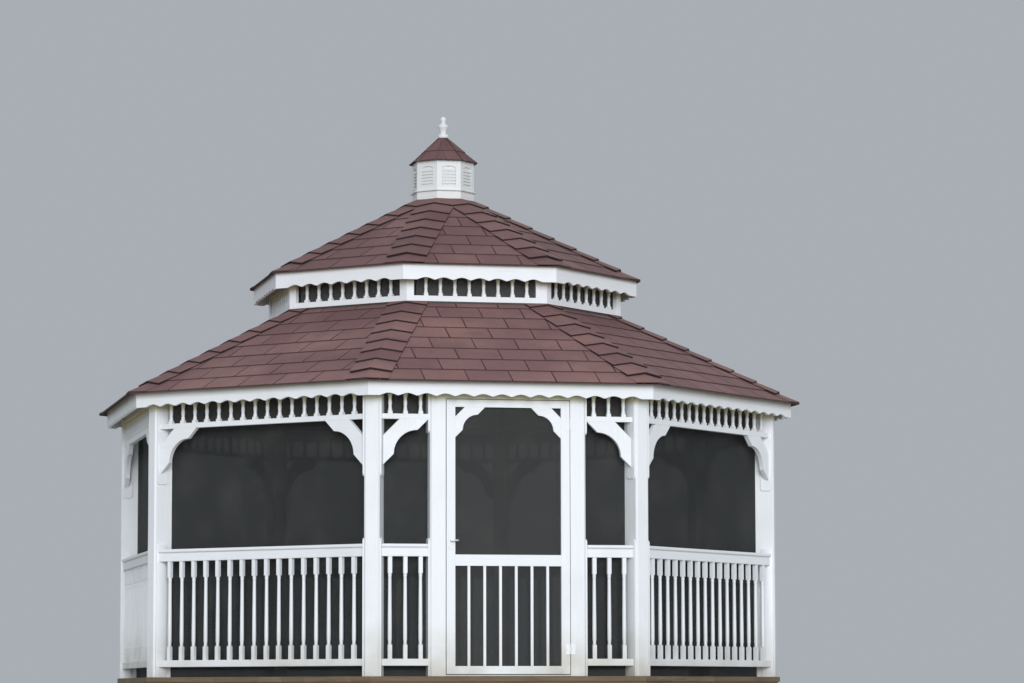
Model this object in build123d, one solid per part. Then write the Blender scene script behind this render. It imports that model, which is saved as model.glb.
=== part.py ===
from build123d import *
from math import cos, radians, sin, tan
import os

# An eight-sided garden gazebo with a two-tier roof, a louvred cupola and a screen door.
# Sizes are in millimetres and degrees. The door bay faces -Y and the vertical axis of the
# octagon is Z. Heights are counted from the top of the floor while the pieces are drawn, and
# every piece is lifted by the height of the floor when it is saved, so the feet stand on z = 0.

# Plan
bays = 8
bay_width = 1957          # between the centres of two neighbouring corner posts
mitre_gap = 1             # left between two boards that meet at a corner

# Floor
joist_height = 184
joist_thickness = 38
joist_spacing = 400
deck_thickness = 38
deck_beyond_posts = 80    # from the line of the post centres to the edge of the deck
rim_setback = 14          # the deck's nosing beyond the rim board

# Posts, their plates and the beam over them
post_size = 114
post_depth = 147          # with the batten on its back that the screens lie against
post_chamfer = 12
plate_thickness = 12
plate_corner = 14
lower_plate_top = 985
upper_plate_reach = 410   # below the foot of the friezes
jamb_plate_reach = 95     # below the foot of the friezes
beam_width = 106
beam_height = 75

# Frieze of turned spindles under the beam
frieze_foot = 1840
frieze_offset = 30        # from the line of the post centres out to the middle of the frieze
frieze_thickness = 38
frieze_rail = 38
frieze_top_rail = 24
spindle_length = 158
spindle_square = 38
spindle_waist = 25
turning_pitch = 111.2     # spindles and balusters stand over each other
row_slack = 0.1           # share of a pitch that a full row may lack at its ends

# Railing
railing_top = 945
cap_width = 64
cap_thickness = 24
groove_height = 7
groove_width = 30
top_rail_height = 59
rail_width = 44
bottom_rail_foot = 75
bottom_rail_height = 50
baluster_foot_size = 30
baluster_head_size = 22

# Corner brackets
bracket_leg = 330
bracket_corner = 120      # legs of the open triangle between bracket and corner
bracket_end_cut = 78
door_bracket_leg = 220
door_bracket_corner = 70
door_bracket_end_cut = 55
door_bracket_thickness = 20
door_bracket_setback = 2  # behind the face of the door

# Insect screens
screen_thickness = 2
screen_lap = 20           # behind the jambs and the beam
upper_screen_lap = 20

# Screen door
door_width = 909
door_foot = 15
door_above_frieze = 146   # from the foot of the friezes to the top of the door
door_thickness = 28
stile_width = 64.5
door_top_rail = 54
door_mid_rail_foot = 789
door_mid_rail = 81
door_bottom_rail = 58
door_gap = 5
latch_gap = 6
picket_size = 20
picket_setback = 3        # behind the face of the door
picket_pitch = 116
jamb_width = 114
sill_height = 10
stop_width = 12
stop_thickness = 12

# Hinges and latch
hinge_count = 2
hinge_height = 76
hinge_end_distance = 180
knuckle_radius = 6
pin_radius = 2.5
pin_clearance = 0.08
knuckle_gap = 0.6
leaf_width = 26
leaf_thickness = 2.5
leaf_to_knuckle = 2.5
latch_height = 970
latch_plate_width = 36
latch_plate_height = 125
latch_plate_thickness = 4
lever_reach = 34
lever_length = 58
lever_size = 13
lever_thickness = 9
door_swing_clearance = 0.5

# Main roof
roof_pitch = 28.1
board_thickness = 19
shingle_thickness = 10
shingle_overhang = 62     # beyond the fascia
eave_overhang = 176       # from the line of the post centres to the face of the fascia
fascia_thickness = 19
fascia_drop = 135         # from the roof boards to the lowest point of the fascia
scallop_pitch = 138
scallop_rise = 17
scallop_free_end = 80     # at least this much plain edge at each corner
rafter_thickness = 38
rafter_depth = 89
rafter_seat = 45          # rafter left over the beam at its outer face
rafter_clearance = 0.2

# Wall of the upper tier
upper_wall_apothem = 1311
upper_wall_thickness = 38
upper_wall_lift = 28.5    # foot of the wall over the roof boards of the main roof
upper_wall_lap = 10       # the wall stands this far out over its sill
upper_rail = 42
upper_spindle_length = 150
upper_top_rail = 38
corner_board = 60
sill_beam_width = 79
sill_beam_height = 150
plate_beam_width = 79
plate_beam_height = 50

# Upper roof
upper_eave_overhang = 115
upper_shingle_overhang = 30
upper_fascia_drop = 132
upper_rafter_depth = 70
upper_rafter_seat = 42

# Cupola and finial
cupola_apothem = 229
curb_thickness = 38
curb_depth = 100          # below the roof boards
curb_show = 78            # above the roof boards
flange_lap = 17
flange_thickness = 8
cupola_wall_thickness = 19
cupola_wall_height = 231
louvre_width = 108
louvre_foot = 29
louvre_height = 148
louvre_arch = 12
slat_count = 6
slat_thickness = 6
slat_slope = 45
cupola_eave_lap = 27
cupola_eave_edge = 8
cupola_roof_height = 203
cupola_roof_thickness = 12
cupola_top_apothem = 42
finial_base_radius = 41
finial_base_height = 28
finial_neck_radius = 24
finial_neck_foot = 40
finial_neck_top = 47
finial_urn_radius = 42
finial_urn_height = 94    # where the urn is widest
finial_shoulder = 14      # from there up to the urn's upper edge
finial_shoulder_radius = 36
finial_collar_radius = 16
finial_collar_height = 129
finial_ball_radius = 25
finial_ball_latitudes = (-25, 0, 25, 50, 80)
dowel_radius = 8
dowel_clearance = 0.5

# Derived places
half_bay = 180 / bays
post_apothem = bay_width / 2 / tan(radians(half_bay))
post_radius = post_apothem / cos(radians(half_bay))
slope = tan(radians(roof_pitch))
steep = cos(radians(roof_pitch))
board_drop = board_thickness / steep
shingle_rise = shingle_thickness / steep
reach = 2 * (post_apothem + eave_overhang)

upper_plate_foot = frieze_foot - upper_plate_reach
jamb_upper_plate_foot = frieze_foot - jamb_plate_reach
door_top = frieze_foot + door_above_frieze
frieze_spindle_foot = frieze_foot + frieze_rail
frieze_top = frieze_spindle_foot + spindle_length + frieze_top_rail
beam_top = frieze_top + beam_height
frieze_apothem = post_apothem + frieze_offset
beam_outer = frieze_apothem + frieze_thickness / 2
fascia_apothem = post_apothem + eave_overhang
eave_apothem = fascia_apothem + shingle_overhang

# A point of the roof boards is fixed by the rafters' seat on the beam.
roof_boards_at_beam = beam_top + rafter_seat + board_drop
sill_outer = upper_wall_apothem - upper_wall_lap
upper_wall_foot = (roof_boards_at_beam + (beam_outer - upper_wall_apothem) * slope
                   + upper_wall_lift)
upper_spindle_foot = upper_wall_foot + upper_rail
upper_wall_top = upper_spindle_foot + upper_spindle_length + upper_top_rail
plate_beam_top = upper_wall_top + plate_beam_height
upper_boards_at_plate = plate_beam_top + upper_rafter_seat + board_drop
upper_fascia_apothem = upper_wall_apothem + upper_eave_overhang
upper_eave_apothem = upper_fascia_apothem + upper_shingle_overhang
boards_at_cupola = upper_boards_at_plate + (upper_wall_apothem - cupola_apothem) * slope
curb_top = boards_at_cupola + curb_show
cupola_wall_foot = curb_top + flange_thickness
cupola_eave = cupola_wall_foot + cupola_wall_height
cupola_roof_top = cupola_eave + cupola_eave_edge + cupola_roof_height

floor_height = joist_height + deck_thickness
door_left = -door_width / 2
door_right = door_width / 2
jamb_left = door_left - latch_gap
jamb_right = door_right + door_gap
door_face = post_apothem + post_size / 2
door_back = door_face - door_thickness
door_middle = door_face - door_thickness / 2
head_foot = door_top + door_gap
hinge_axis_x = door_right + door_gap / 2
hinge_axis_y = -(door_face + knuckle_radius + door_swing_clearance)


def main_boards(distance):
    """Height of the top of the main roof boards at a distance from the axis."""
    return roof_boards_at_beam + (beam_outer - distance) * slope


def upper_boards(distance):
    """Height of the top of the upper roof boards at a distance from the axis."""
    return upper_boards_at_plate + (upper_wall_apothem - distance) * slope


def rectangle(left, right, foot, top):
    return Polygon((left, foot), (right, foot), (right, top), (left, top))


def upright(drawing, distance, thickness):
    """Stands a drawing (along the bay, height) in the front bay, with its middle at a
    distance from the axis."""
    return extrude(Plane.XZ.offset(distance) * drawing, amount=thickness / 2, both=True)


section_plane = Plane(origin=(0, 0, 0), x_dir=(0, -1, 0), z_dir=(-1, 0, 0))


def along_bay(section, width=None):
    """Runs a section (distance from the axis, height) along the front bay."""
    return extrude(section_plane * section, amount=(width or reach) / 2, both=True)


def sector(gap):
    """The wedge of space that belongs to the front bay, from the floor frame upwards."""
    side = reach * tan(radians(half_bay))
    wedge = extrude(Polygon((0, 0), (-side, -reach), (side, -reach)), amount=reach, both=True)
    return Pos(0, -gap / 2 / sin(radians(half_bay)), 0) * wedge


bay_sector = sector(mitre_gap)
closed_sector = sector(0)


def all_bays(piece, skip_front=False):
    """Repeats a piece of the front bay in every bay."""
    return [Rot(0, 0, 360 / bays * bay) * piece for bay in range(1 if skip_front else 0, bays)]


def all_corners(piece):
    """Repeats a piece drawn on the -Y axis at every corner."""
    return [Rot(0, 0, 360 / bays * (bay + 0.5)) * piece for bay in range(bays)]


def mitred(section):
    """Eight boards of one section, mitred at the corners."""
    return all_bays(along_bay(section) & bay_sector)


def ring(section):
    """One closed eight-sided ring of a section."""
    sides = all_bays(along_bay(section) & closed_sector)
    return [sides[0].fuse(*sides[1:]).clean()]


def sloped_board(boards, inner, outer, drop, rise=0):
    """Section of a sheet that follows the roof slope from rise above to drop below it."""
    return Polygon((inner, boards(inner) - drop), (outer, boards(outer) - drop),
                   (outer, boards(outer) + rise), (inner, boards(inner) + rise))


def save(name, pieces):
    lifted = [Pos(0, 0, floor_height) * piece for piece in pieces]
    solids = [solid for piece in lifted for solid in piece.solids()]
    export_step(Compound(children=solids) if len(solids) > 1 else solids[0],
                f"parts/{name}.step")


# Floor

def octagon(apothem, height):
    shape = RegularPolygon(apothem, bays, major_radius=False, rotation=half_bay)
    return extrude(shape, amount=height)


deck_apothem = post_apothem + deck_beyond_posts
rim_outer = deck_apothem - rim_setback
rim_inner = rim_outer - joist_thickness


def floor_deck():
    return [Pos(0, 0, -deck_thickness) * octagon(deck_apothem, deck_thickness)]


def floor_rim():
    return mitred(rectangle(rim_inner, rim_outer, -floor_height, -deck_thickness))


def floor_joists():
    room = Pos(0, 0, -floor_height) * octagon(rim_inner, joist_height)
    rows = int((rim_inner - joist_thickness) / joist_spacing)
    joist = Pos(0, 0, -deck_thickness - joist_height / 2) * Box(reach, joist_thickness, joist_height)
    return [Pos(0, row * joist_spacing, 0) * joist & room for row in range(-rows, rows + 1)]


# Posts

def corner_posts():
    """Posts that reach inwards to the plane of the screens, with eased outer edges."""
    middle = post_radius + (post_size - post_depth) / 2
    post = Pos(0, -middle, frieze_top / 2) * Box(post_size, post_depth, frieze_top)
    outer_edges = post.edges().filter_by(Axis.Z).sort_by(Axis.Y)[:2]
    return all_corners(chamfer(outer_edges, post_chamfer))


plate_width = post_size - 2 * post_chamfer


def plate(foot, top, clipped_foot):
    """Casing plate, drawn flat: its free end has clipped corners."""
    half, clip = plate_width / 2, plate_corner
    if clipped_foot:
        corners = [(half, top), (-half, top), (-half, foot + clip), (-half + clip, foot),
                   (half - clip, foot), (half, foot + clip)]
    else:
        corners = [(-half, foot), (half, foot), (half, top - clip), (half - clip, top),
                   (-half + clip, top), (-half, top - clip)]
    return Polygon(*corners)


def side_plate(drawing, face_x, middle_y, side):
    """Plate on a post's face that looks along +X or -X."""
    middle = face_x + side * plate_thickness / 2
    standing = extrude(Plane.YZ * drawing, amount=plate_thickness / 2, both=True)
    return Pos(middle, middle_y, 0) * standing


def post_plates():
    lower = plate(0, lower_plate_top, False)
    upper = plate(upper_plate_foot, frieze_top, True)
    jamb_upper = plate(jamb_upper_plate_foot, frieze_top, True)
    pieces = []
    for side in (-1, 1):
        for drawing in (lower, upper):
            on_post = side_plate(drawing, side * post_size / 2, -post_radius, side)
            pieces += all_corners(on_post)
        face = jamb_right + jamb_width if side > 0 else jamb_left - jamb_width
        for drawing in (lower, jamb_upper):
            pieces.append(side_plate(drawing, face, -post_apothem, side))
    return pieces


def door_jambs():
    """Square posts beside the door, eased on the edges away from it."""
    pieces = []
    for inner, side in ((jamb_left, -1), (jamb_right, 1)):
        middle = inner + side * jamb_width / 2
        jamb = Pos(middle, -post_apothem, frieze_top / 2) * Box(jamb_width, post_size, frieze_top)
        outer_edges = jamb.edges().filter_by(Axis.Z).sort_by(Axis.X)
        outer_edges = outer_edges[:2] if side < 0 else outer_edges[-2:]
        pieces.append(chamfer(outer_edges, post_chamfer))
    return pieces


def door_head():
    return [upright(rectangle(jamb_left, jamb_right, head_foot, frieze_top),
                    post_apothem, post_size)]


def door_stops():
    """Rebate strip that the closed door lies in front of, along both jambs and the head."""
    outer = rectangle(jamb_left, jamb_right, sill_height, head_foot)
    inner = rectangle(jamb_left + stop_width, jamb_right - stop_width, sill_height,
                      head_foot - stop_width)
    return [upright(outer - inner, door_back - door_gap - stop_thickness / 2, stop_thickness)]


def door_sill():
    return [upright(rectangle(jamb_left, jamb_right, 0, sill_height), post_apothem, post_size)]


def header_beams():
    return mitred(rectangle(beam_outer - beam_width, beam_outer, frieze_top, beam_top))


# What stands between the posts

def face_line(distance, offset):
    """Where a plane parallel to a corner post's side face, at an offset from the post's
    centre, crosses a line at a distance from the axis: half the width left in the bay."""
    tilt = radians(half_bay)
    return bay_width / 2 - (offset - (distance - post_apothem) * sin(tilt)) / cos(tilt)


def between_posts(offset, left=None, right=None):
    """Prism of the front bay between its corner posts' faces, or up to a straight side."""
    near, far = post_apothem - post_size, post_apothem + post_size
    corners = [(left if left is not None else -face_line(near, offset), -near),
               (right if right is not None else face_line(near, offset), -near),
               (right if right is not None else face_line(far, offset), -far),
               (left if left is not None else -face_line(far, offset), -far)]
    return extrude(Polygon(*corners), amount=reach, both=True)


plate_face = post_size / 2 + plate_thickness
full_bay = between_posts(plate_face)
beside_left = between_posts(plate_face, right=jamb_left - jamb_width - plate_thickness)
beside_right = between_posts(plate_face, left=jamb_right + jamb_width + plate_thickness)
full_half = face_line(frieze_apothem, plate_face)
full_span = (-full_half, full_half)
left_span = (-full_half, jamb_left - jamb_width - plate_thickness)
right_span = (jamb_right + jamb_width + plate_thickness, full_half)


def in_each_section(build):
    """Fills every bay: seven whole ones, and the two narrow sections beside the door."""
    pieces = all_bays(build(*full_span) & full_bay, skip_front=True)
    pieces.append(build(*left_span) & beside_left)
    pieces.append(build(*right_span) & beside_right)
    return pieces


def places(left, right):
    """Even places for turned pieces, with what is left over shared by the two ends."""
    count = int((right - left) / turning_pitch + row_slack)
    middle = (left + right) / 2
    return [middle + (index - (count - 1) / 2) * turning_pitch for index in range(count)]


def turning(steps):
    """Outline of a turned piece from its widths at rising heights."""
    right = [(width / 2, height) for height, width in steps]
    left = [(-width / 2, height) for height, width in reversed(steps)]
    return Polygon(*right, *left)


def spindle_steps(foot, length):
    return [(foot, spindle_square), (foot + length / 2, spindle_waist),
            (foot + length, spindle_square)]


def turned_row(steps, left, right, distance):
    """A row of square-turned pieces, cut from the front and from the side."""
    outline = turning(steps)
    widest = max(width for height, width in steps)
    row = [Pos(x, 0) * outline for x in places(left, right)]
    front = upright(row[0] + row[1:], distance, widest)
    return front & along_bay(Pos(distance, 0) * outline)


def bar(distance, thickness, foot, top):
    """Straight rail across the bay."""
    return along_bay(rectangle(distance - thickness / 2, distance + thickness / 2, foot, top))


def spindle_panel(left, right, distance, thickness, foot, bottom_rail, length, top_rail):
    """Bottom rail, spindles and top rail as one piece, running on past both ends."""
    spindle_foot = foot + bottom_rail
    spindle_top = spindle_foot + length
    bottom = bar(distance, thickness, foot, spindle_foot)
    top = bar(distance, thickness, spindle_top, spindle_top + top_rail)
    spindles = turned_row(spindle_steps(spindle_foot, length), left, right, distance)
    return bottom.fuse(top, *spindles.solids())


def friezes():
    def build(left, right):
        return spindle_panel(left, right, frieze_apothem, frieze_thickness, frieze_foot,
                             frieze_rail, spindle_length, frieze_top_rail)
    return in_each_section(build)


def railings():
    """Moulded cap over a grooved top rail, tapered balusters and a bottom rail."""
    cap_foot = railing_top - cap_thickness
    groove_foot = cap_foot - groove_height
    top_rail_foot = groove_foot - top_rail_height
    bottom_top = bottom_rail_foot + bottom_rail_height
    half_cap, half_groove, half_rail = cap_width / 2, groove_width / 2, rail_width / 2
    cap_section = Polygon(
        (-half_rail, top_rail_foot), (half_rail, top_rail_foot), (half_rail, groove_foot),
        (half_groove, groove_foot), (half_groove, cap_foot), (half_cap, cap_foot),
        (half_cap, railing_top), (-half_cap, railing_top), (-half_cap, cap_foot),
        (-half_groove, cap_foot), (-half_groove, groove_foot), (-half_rail, groove_foot))
    top = along_bay(Pos(frieze_apothem, 0) * cap_section)
    bottom = bar(frieze_apothem, rail_width, bottom_rail_foot, bottom_top)
    steps = [(bottom_top, baluster_foot_size), (top_rail_foot, baluster_head_size)]

    def build(left, right):
        balusters = turned_row(steps, left, right, frieze_apothem)
        return top.fuse(bottom, *balusters.solids())
    return in_each_section(build)


def bracket_outline(leg, corner, end_cut):
    """Curved brace for a corner at the origin, with its legs to -X and down: an open
    triangle in the corner, cut ends and a hollow quarter round inside."""
    inner = leg - end_cut
    radius = inner - end_cut
    return make_face([
        Line((-corner, 0), (-leg, 0)),
        Line((-leg, 0), (-inner, -end_cut)),
        CenterArc((-inner, -inner), radius, 0, 90),
        Line((-end_cut, -inner), (0, -leg)),
        Line((0, -leg), (0, -corner)),
        Line((0, -corner), (-corner, 0)),
    ])


def corner_brackets():
    """Two braces in each whole bay, one beside the corner post in each narrow section."""
    outline = bracket_outline(bracket_leg, bracket_corner, bracket_end_cut)
    right = upright(Pos(full_half, frieze_foot) * outline, frieze_apothem, frieze_thickness)
    left = mirror(right, about=Plane.YZ)
    return (all_bays(right & full_bay, skip_front=True) + all_bays(left & full_bay, skip_front=True)
            + [right & beside_right, left & beside_left])


def wall_screens():
    """Sheets on the backs of the jambs and the beam, between the sides of the corner posts."""
    back = post_apothem - post_size / 2 - screen_thickness
    at_post = face_line(back, post_size / 2)
    at_left_jamb = jamb_left - jamb_width + screen_lap
    at_right_jamb = jamb_right + jamb_width - screen_lap

    def sheet(left, right):
        return upright(rectangle(left, right, 0, frieze_top + screen_lap),
                       back + screen_thickness / 2, screen_thickness)
    return (all_bays(sheet(-at_post, at_post), skip_front=True)
            + [sheet(-at_post, at_left_jamb), sheet(at_right_jamb, at_post)])


def upper_screens():
    half = upper_wall_apothem * tan(radians(half_bay)) - corner_board - upper_screen_lap
    distance = upper_wall_apothem - upper_wall_thickness - screen_thickness / 2
    foot = upper_spindle_foot - upper_screen_lap / 2
    top = upper_wall_top - upper_top_rail + upper_screen_lap / 2
    return all_bays(upright(rectangle(-half, half, foot, top), distance, screen_thickness))


# Roofs

def scalloped_fascia(boards, apothem, drop):
    """Eight mitred boards under the eaves with a waved lower edge between plain ends."""
    side = 2 * apothem * tan(radians(half_bay))
    foot = boards(apothem) - drop
    count = int((side - 2 * scallop_free_end) / scallop_pitch)
    start = -count * scallop_pitch / 2
    wave = [(start, foot)]
    for index in range(count):
        left = start + index * scallop_pitch
        wave.append((left + scallop_pitch / 2, foot + scallop_rise))
        wave.append((left + scallop_pitch, foot))
    top = boards(apothem - fascia_thickness)
    face = Polygon((-side, foot), *wave, (side, foot), (side, top), (-side, top))
    inner = apothem - fascia_thickness
    section = Polygon((inner, foot), (apothem, foot), (apothem, boards(apothem)), (inner, top))
    front = upright(face, apothem - fascia_thickness / 2, fascia_thickness)
    return all_bays(front & along_bay(section) & bay_sector)


def rafter(boards, inner, outer, depth, flatten=1, drop=0, seat=None):
    """Sloped timber on the -Y axis with plumb ends. flatten eases the slope of a hip, drop
    lowers its top under the boards, and seat is the notch (inner, outer, height)."""
    fall = board_drop + drop
    low = fall + depth / steep

    def edge(distance, below):
        return (distance, boards(distance * flatten) - below)
    side = Polygon(edge(inner, low), edge(outer, low), edge(outer, fall), edge(inner, fall))
    if seat:
        notch_inner, notch_outer, height = seat
        side = side - rectangle(notch_inner, notch_outer, height - reach, height)
    return along_bay(side, rafter_thickness)


def rafters(boards, inner, outer, depth, seat):
    """A common rafter in the middle of each bay and a hip rafter at each corner."""
    across = cos(radians(half_bay))
    edge = rafter_thickness / 2 * sin(radians(half_bay))
    seat_inner, seat_outer, height = seat
    common = rafter(boards, inner, outer, depth, drop=rafter_clearance, seat=seat)
    hip = rafter(boards, inner / across, (outer - edge) / across, depth, flatten=across,
                 drop=edge * slope + rafter_clearance,
                 seat=((seat_inner - edge) / across, seat_outer / across, height))
    return all_bays(common) + all_corners(hip)


def main_rafters():
    return rafters(main_boards, sill_outer, fascia_apothem - fascia_thickness, rafter_depth,
                   (beam_outer - beam_width, beam_outer, beam_top))


def main_roof_boards():
    return mitred(sloped_board(main_boards, sill_outer, fascia_apothem - fascia_thickness,
                               board_drop))


def main_shingles():
    section = sloped_board(main_boards, sill_outer, eave_apothem, 0, shingle_rise)
    return mitred(section)


def sill_beams():
    return mitred(rectangle(sill_outer - sill_beam_width, sill_outer,
                            upper_wall_foot - sill_beam_height, upper_wall_foot))


def upper_walls():
    """Eight panels of spindles between corner boards, mitred at the corners."""
    half = upper_wall_apothem * tan(radians(half_bay)) - corner_board
    distance = upper_wall_apothem - upper_wall_thickness / 2
    panel = spindle_panel(-half, half, distance, upper_wall_thickness, upper_wall_foot,
                          upper_rail, upper_spindle_length, upper_top_rail)
    far = half + 2 * corner_board
    boards = [upright(rectangle(left, right, upper_wall_foot, upper_wall_top), distance,
                      upper_wall_thickness) for left, right in ((-far, -half), (half, far))]
    return all_bays(panel.fuse(*boards).clean() & bay_sector)


def plate_beams():
    return mitred(rectangle(upper_wall_apothem - plate_beam_width, upper_wall_apothem,
                            upper_wall_top, plate_beam_top))


def upper_rafters():
    return rafters(upper_boards, cupola_apothem, upper_fascia_apothem - fascia_thickness,
                   upper_rafter_depth,
                   (upper_wall_apothem - plate_beam_width, upper_wall_apothem, plate_beam_top))


def upper_roof_boards():
    return mitred(sloped_board(upper_boards, cupola_apothem,
                               upper_fascia_apothem - fascia_thickness, board_drop))


def upper_shingles():
    return mitred(sloped_board(upper_boards, cupola_apothem, upper_eave_apothem, 0,
                               shingle_rise))


# Cupola

def cupola_curb():
    return ring(rectangle(cupola_apothem - curb_thickness, cupola_apothem,
                          boards_at_cupola - curb_depth, curb_top))


def cupola_flange():
    return ring(rectangle(cupola_apothem - curb_thickness, cupola_apothem + flange_lap,
                          curb_top, cupola_wall_foot))


def louvre_opening():
    foot = cupola_wall_foot + louvre_foot
    spring = foot + louvre_height
    half = louvre_width / 2
    outline = make_face([
        Line((-half, spring), (-half, foot)), Line((-half, foot), (half, foot)),
        Line((half, foot), (half, spring)),
        ThreePointArc((half, spring), (0, spring + louvre_arch), (-half, spring)),
    ])
    return upright(outline, cupola_apothem, 2 * cupola_apothem)


def cupola_walls():
    inner = cupola_apothem - cupola_wall_thickness
    walls = ring(rectangle(inner, cupola_apothem, cupola_wall_foot, cupola_eave))[0]
    return [walls.cut(*all_bays(louvre_opening()))]


def cupola_louvres():
    """Sloped slats between the sides of each opening, up to the foot of its arch."""
    rise = cupola_wall_thickness * tan(radians(slat_slope))
    pitch = (louvre_height - rise - slat_thickness) / (slat_count - 1)
    inner = cupola_apothem - cupola_wall_thickness
    slats = []
    for index in range(slat_count):
        foot = cupola_wall_foot + louvre_foot + index * pitch
        section = Polygon((inner, foot + rise), (cupola_apothem, foot),
                          (cupola_apothem, foot + slat_thickness),
                          (inner, foot + rise + slat_thickness))
        slats += all_bays(along_bay(section, louvre_width))
    return slats


def cupola_roof():
    """Hollow eight-sided cap on the cupola's walls with a flat, bored top for the finial."""
    outer = cupola_apothem + cupola_eave_lap
    inner = cupola_apothem - cupola_wall_thickness
    bore = dowel_radius + dowel_clearance
    return ring(Polygon(
        (inner, cupola_eave),
        (outer, cupola_eave),
        (outer, cupola_eave + cupola_eave_edge),
        (cupola_top_apothem, cupola_roof_top),
        (bore, cupola_roof_top),
        (bore, cupola_roof_top - cupola_roof_thickness),
        (cupola_top_apothem, cupola_roof_top - 2 * cupola_roof_thickness),
    ))


def finial():
    """Ornament on a dowel, cut in eight flats: base disc, neck, urn, collar and ball."""
    ball_middle = (finial_collar_height
                   + (finial_ball_radius ** 2 - finial_collar_radius ** 2) ** 0.5)
    steps = [
        (0, -cupola_roof_thickness),
        (dowel_radius, -cupola_roof_thickness),
        (dowel_radius, 0),
        (finial_base_radius, 0),
        (finial_base_radius, finial_base_height),
        (finial_neck_radius, finial_neck_foot),
        (finial_neck_radius, finial_neck_top),
        (finial_urn_radius, finial_urn_height),
        (finial_shoulder_radius, finial_urn_height + finial_shoulder),
        (finial_collar_radius, finial_collar_height),
    ]
    for latitude in finial_ball_latitudes:
        steps.append((finial_ball_radius * cos(radians(latitude)),
                      ball_middle + finial_ball_radius * sin(radians(latitude))))
    return ring(Pos(0, cupola_roof_top) * Polygon(*steps, (0, steps[-1][1])))


# Screen door

door_inner_left = door_left + stile_width
door_inner_right = door_right - stile_width
mid_rail_top = door_mid_rail_foot + door_mid_rail
bottom_rail_top = door_foot + door_bottom_rail
top_rail_foot = door_top - door_top_rail


def door_board(left, right, foot, top):
    return upright(rectangle(left, right, foot, top), door_middle, door_thickness)


def door_stiles():
    return [door_board(door_left, door_inner_left, door_foot, door_top),
            door_board(door_inner_right, door_right, door_foot, door_top)]


def door_rails():
    return [door_board(door_inner_left, door_inner_right, foot, top)
            for foot, top in ((door_foot, bottom_rail_top),
                              (door_mid_rail_foot, mid_rail_top),
                              (top_rail_foot, door_top))]


def door_pickets():
    count = int((door_inner_right - door_inner_left) / picket_pitch)
    middle = (door_inner_left + door_inner_right) / 2
    half = picket_size / 2
    picket_middle = door_face - picket_setback - half
    pickets = []
    for index in range(count):
        x = middle + (index - (count - 1) / 2) * picket_pitch
        pickets.append(upright(rectangle(x - half, x + half, bottom_rail_top,
                                         door_mid_rail_foot), picket_middle, picket_size))
    return pickets


def door_brackets():
    outline = bracket_outline(door_bracket_leg, door_bracket_corner, door_bracket_end_cut)
    brace = upright(outline, door_face - door_bracket_setback - door_bracket_thickness / 2,
                    door_bracket_thickness)
    return [Pos(door_inner_right, 0, top_rail_foot) * brace,
            Pos(door_inner_left, 0, top_rail_foot) * mirror(brace, about=Plane.YZ)]


def door_screens():
    distance = door_back + screen_thickness / 2
    return [upright(rectangle(door_inner_left, door_inner_right, foot, top), distance,
                    screen_thickness)
            for foot, top in ((bottom_rail_top, door_mid_rail_foot),
                              (mid_rail_top, top_rail_foot))]


def door_latch():
    """Back plate with a lever on a square neck, on both faces of the left stile."""
    x = door_left + stile_width / 2
    plate_half, half = latch_plate_width / 2, lever_size / 2
    foot, top = latch_height - half, latch_height + half
    sets = []
    for face, out in ((door_face, 1), (door_back, -1)):
        back_plate = upright(rectangle(x - plate_half, x + plate_half,
                                       latch_height - latch_plate_height / 2,
                                       latch_height + latch_plate_height / 2),
                             face + out * latch_plate_thickness / 2, latch_plate_thickness)
        neck = upright(rectangle(x - half, x + half, foot, top),
                       face + out * lever_reach / 2, lever_reach)
        lever = upright(rectangle(x - half, x - half + lever_length, foot, top),
                        face + out * (lever_reach - lever_thickness / 2), lever_thickness)
        sets.append(back_plate.fuse(neck, lever).clean())
    return sets


def hinge_places():
    low = door_foot + hinge_end_distance
    high = door_top - hinge_end_distance
    step = (high - low) / (hinge_count - 1)
    return [low + index * step for index in range(hinge_count)]


def on_hinge_axis(middle, radius, height):
    return Pos(hinge_axis_x, hinge_axis_y, middle) * Cylinder(radius, height)


knuckle_height = (hinge_height - 2 * knuckle_gap) / 3
leaf_distance = door_face + leaf_thickness / 2
leaf_start = knuckle_radius + leaf_to_knuckle


def hinge_leaf(side, middle):
    near = hinge_axis_x + side * leaf_start
    far = near + side * leaf_width
    return upright(rectangle(min(near, far), max(near, far), middle - hinge_height / 2,
                             middle + hinge_height / 2), leaf_distance, leaf_thickness)


def hinge_tab(side, middle, height):
    near, far = hinge_axis_x, hinge_axis_x + side * leaf_start
    return upright(rectangle(min(near, far), max(near, far), middle - height / 2,
                             middle + height / 2), leaf_distance, leaf_thickness)


def door_hinges():
    """Leaf and bored middle knuckle of each hinge, on the door."""
    pieces = []
    for middle in hinge_places():
        barrel = on_hinge_axis(middle, knuckle_radius, knuckle_height)
        bore = on_hinge_axis(middle, pin_radius + pin_clearance, knuckle_height)
        tab = hinge_tab(-1, middle, knuckle_height)
        pieces.append(hinge_leaf(-1, middle).fuse(tab, barrel).clean() - bore)
    return pieces


def jamb_hinges():
    """Leaf, two outer knuckles and the pin between them, on the jamb."""
    pieces = []
    offset = knuckle_height + knuckle_gap
    for middle in hinge_places():
        parts = [on_hinge_axis(middle, pin_radius, hinge_height)]
        for height in (middle - offset, middle + offset):
            parts.append(hinge_tab(1, height, knuckle_height))
            parts.append(on_hinge_axis(height, knuckle_radius, knuckle_height))
        pieces.append(hinge_leaf(1, middle).fuse(*parts).clean())
    return pieces


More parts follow.
